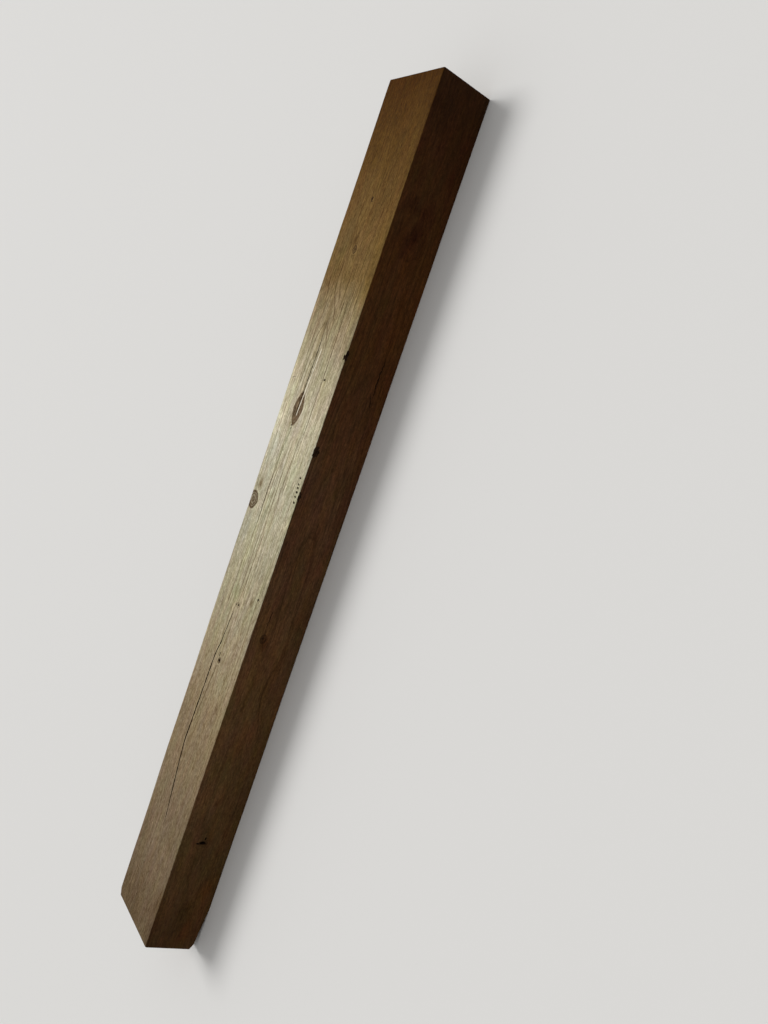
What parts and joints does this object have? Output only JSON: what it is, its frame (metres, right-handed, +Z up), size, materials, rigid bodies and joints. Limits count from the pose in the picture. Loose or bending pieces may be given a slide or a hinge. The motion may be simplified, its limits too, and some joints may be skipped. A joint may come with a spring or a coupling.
{
  "type": "oak beam",
  "caption": "Old squared oak beam with weathered sawn faces, eased arrises, a long drying check, a square-cut head and a foot cut out of square with two broken corners.",
  "frame": {"origin": "middle of the base of the beam's box, on the floor it lies on", "axes": "+X along the beam towards the square-cut head, +Y across the wide faces towards the back, +Z up through the thickness"},
  "size_m": [2.0222, 0.2, 0.133],
  "materials": {
    "oak": "old sawn oak, greyed and matt, with open checks"
  },
  "bodies": {
    "root": {"beam": "oak"}
  },
  "joints": []
}
